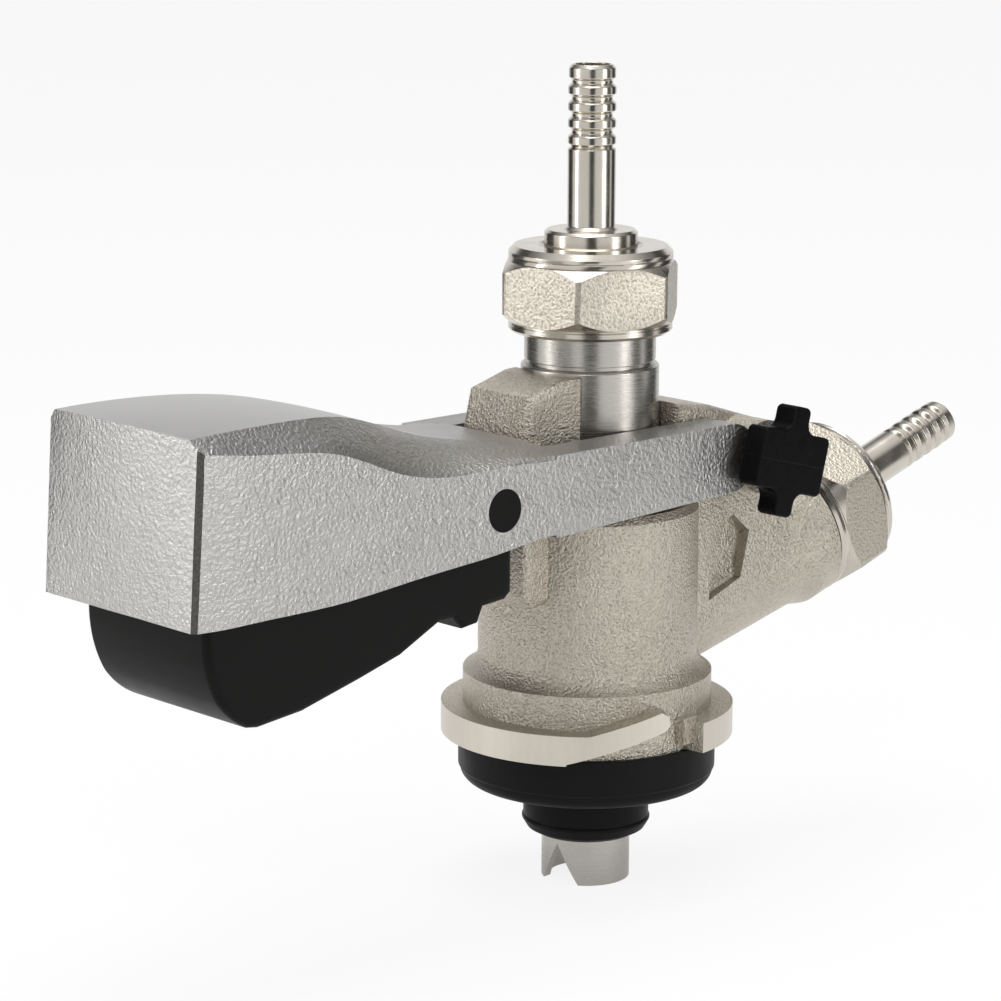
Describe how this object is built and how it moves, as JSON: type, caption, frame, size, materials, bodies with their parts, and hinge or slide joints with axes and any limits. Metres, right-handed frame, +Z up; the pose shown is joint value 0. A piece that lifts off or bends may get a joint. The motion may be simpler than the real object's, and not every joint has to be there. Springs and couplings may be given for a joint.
{
  "type": "keg coupler",
  "caption": "Keg coupler with a cast locking body, sliding probe, squeeze-release lever, angled gas inlet and pull-knob relief valve.",
  "frame": {"origin": "on the probe axis at the underside of the locking flange, where the coupler meets the keg neck", "axes": "+Z up along the probe, -X towards the lever grip, +X towards the gas inlet, -Y towards the relief valve knob"},
  "size_m": [0.1956, 0.0504, 0.1419],
  "materials": {
    "nickel_cast": "blasted nickel-plated casting",
    "nickel_nut": "nickel plated, turned and blasted",
    "nickel_polished": "polished nickel",
    "turned_steel": "fine turned",
    "cast_aluminium": "satin cast, brushed sides",
    "black_plastic": "matte moulded",
    "black_knob": "semi-gloss moulded",
    "black_rubber": "smooth matte",
    "spring_steel": "drawn wire",
    "washer_plastic": "plain",
    "brass": "turned"
  },
  "bodies": {
    "coupler_body": {"coupler_body": "nickel_cast", "keg_seal": "black_rubber", "gas_nut": "nickel_nut", "gas_tailpiece": "nickel_polished", "gas_washer": "washer_plastic", "gas_check_valve": "black_rubber", "lever_hinge_pin": "turned_steel", "relief_valve_seat": "brass", "relief_valve_plug": "brass"},
    "probe": {"probe": "turned_steel", "probe_seal": "black_rubber", "probe_o_rings": "black_rubber", "ball_retainer": "turned_steel", "beer_nut": "nickel_nut", "beer_tailpiece": "nickel_polished", "beer_washer": "washer_plastic"},
    "check_ball": {"beer_check_ball": "turned_steel"},
    "lever": {"lever": "cast_aluminium", "trigger_pin": "turned_steel", "trigger_pin_caps": "black_plastic", "trigger_spring": "spring_steel"},
    "trigger": {"trigger_grip": "black_plastic"},
    "relief_valve": {"relief_valve_stem": "brass", "relief_valve_seal": "black_rubber", "relief_valve_knob": "black_knob", "relief_valve_spring": "spring_steel"}
  },
  "joints": [
    {"name": "lever_swing", "type": "hinge", "parent": "coupler_body", "child": "lever", "pos_m": [0.0155, 0, 0.0485], "axis": [0, 1, 0], "range_deg": [0, 36]},
    {"name": "probe_slide", "type": "slide", "parent": "coupler_body", "child": "probe", "axis": [0, 0, 1], "range_m": [0, 0.0094]},
    {"name": "check_ball_lift", "type": "slide", "parent": "probe", "child": "check_ball", "axis": [0, 0, 1], "range_m": [0, 0.004]},
    {"name": "trigger_squeeze", "type": "hinge", "parent": "lever", "child": "trigger", "pos_m": [-0.0375, 0, 0.047], "axis": [0, 1, 0], "range_deg": [0, 7], "stiffness_Nm_per_rad": 0.4, "springref_deg": -17.19, "deforming": ["trigger_spring"]},
    {"name": "relief_pull", "type": "slide", "parent": "coupler_body", "child": "relief_valve", "axis": [0, -1, 0], "range_m": [0, 0.003], "stiffness_N_per_m": 800, "springref_m": -0.004}
  ],
  "couplings": [
    {"joint": "probe_slide", "follows": "lever_swing", "m_per_rad": 0.0148}
  ]
}
